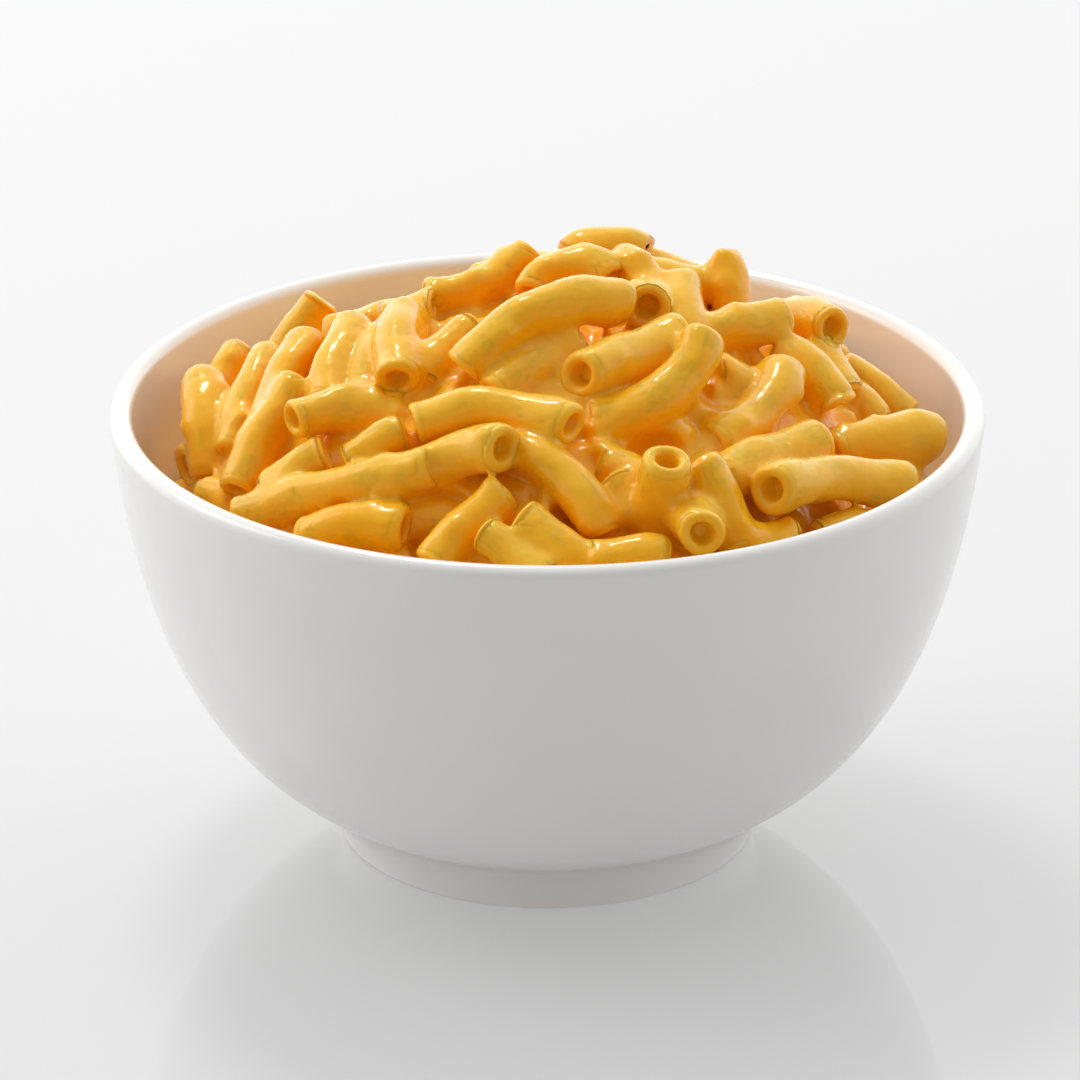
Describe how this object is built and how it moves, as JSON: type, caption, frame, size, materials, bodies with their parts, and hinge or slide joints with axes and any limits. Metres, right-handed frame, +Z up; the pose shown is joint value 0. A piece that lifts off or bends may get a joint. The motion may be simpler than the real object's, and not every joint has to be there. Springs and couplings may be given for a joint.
{
  "type": "bowl of macaroni and cheese",
  "caption": "Round white footed bowl heaped with elbow macaroni in cheese sauce, rising in a dome above the rim.",
  "frame": {"origin": "middle of the foot's resting face, on the bowl's axis", "axes": "+Z up along the bowl's axis; the heap's crest leans slightly towards +X and +Y, and -Y is the front"},
  "size_m": [0.14, 0.14, 0.0967],
  "materials": {
    "white_glaze": "smooth white glaze, glossy",
    "cheese_macaroni": "elbow pasta under a glossy yellow cheese sauce"
  },
  "bodies": {
    "root": {"bowl": "white_glaze", "macaroni_heap": "cheese_macaroni"}
  },
  "joints": []
}
